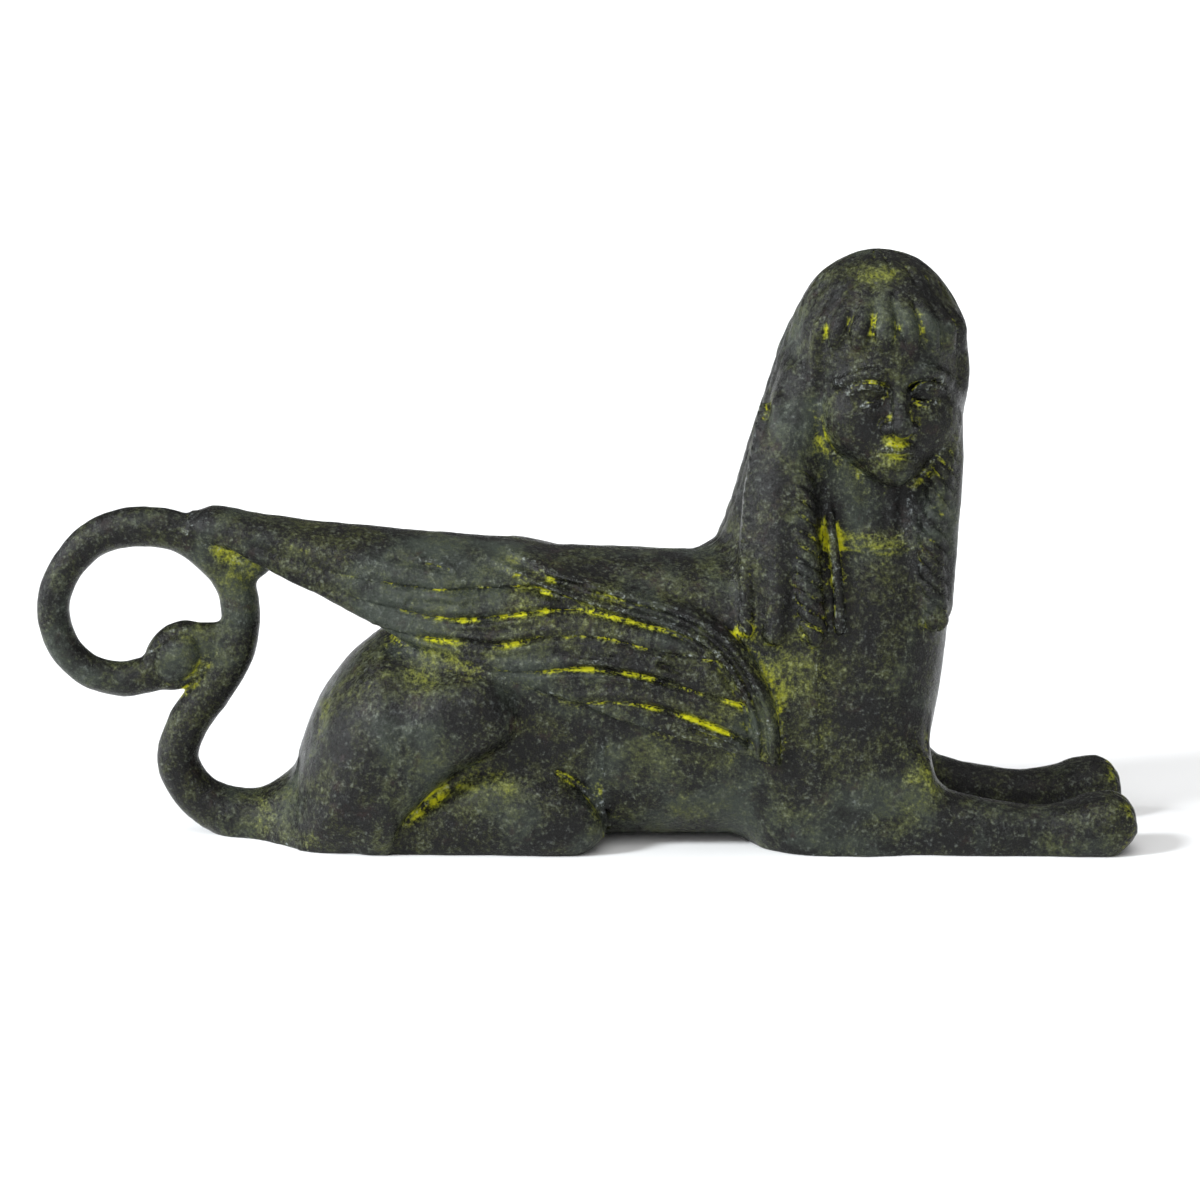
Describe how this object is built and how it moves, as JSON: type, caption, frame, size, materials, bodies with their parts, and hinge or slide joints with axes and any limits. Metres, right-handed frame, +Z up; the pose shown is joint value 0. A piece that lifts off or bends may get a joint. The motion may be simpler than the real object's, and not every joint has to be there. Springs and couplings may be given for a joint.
{
  "type": "sphinx statue",
  "caption": "Reclining winged sphinx cast in patinated bronze, with braided hair, folded wings and a tail curled into a ring.",
  "frame": {"origin": "on the ground, under the middle of the bounding box", "axes": "+X along the body towards the forepaws, +Z up; the head is turned to face -Y"},
  "size_m": [0.1506, 0.033, 0.0812],
  "materials": {
    "bronze": "dark green-black patina, satin, with yellow-green deposit in the recesses"
  },
  "bodies": {
    "root": {"sphinx": "bronze"}
  },
  "joints": []
}
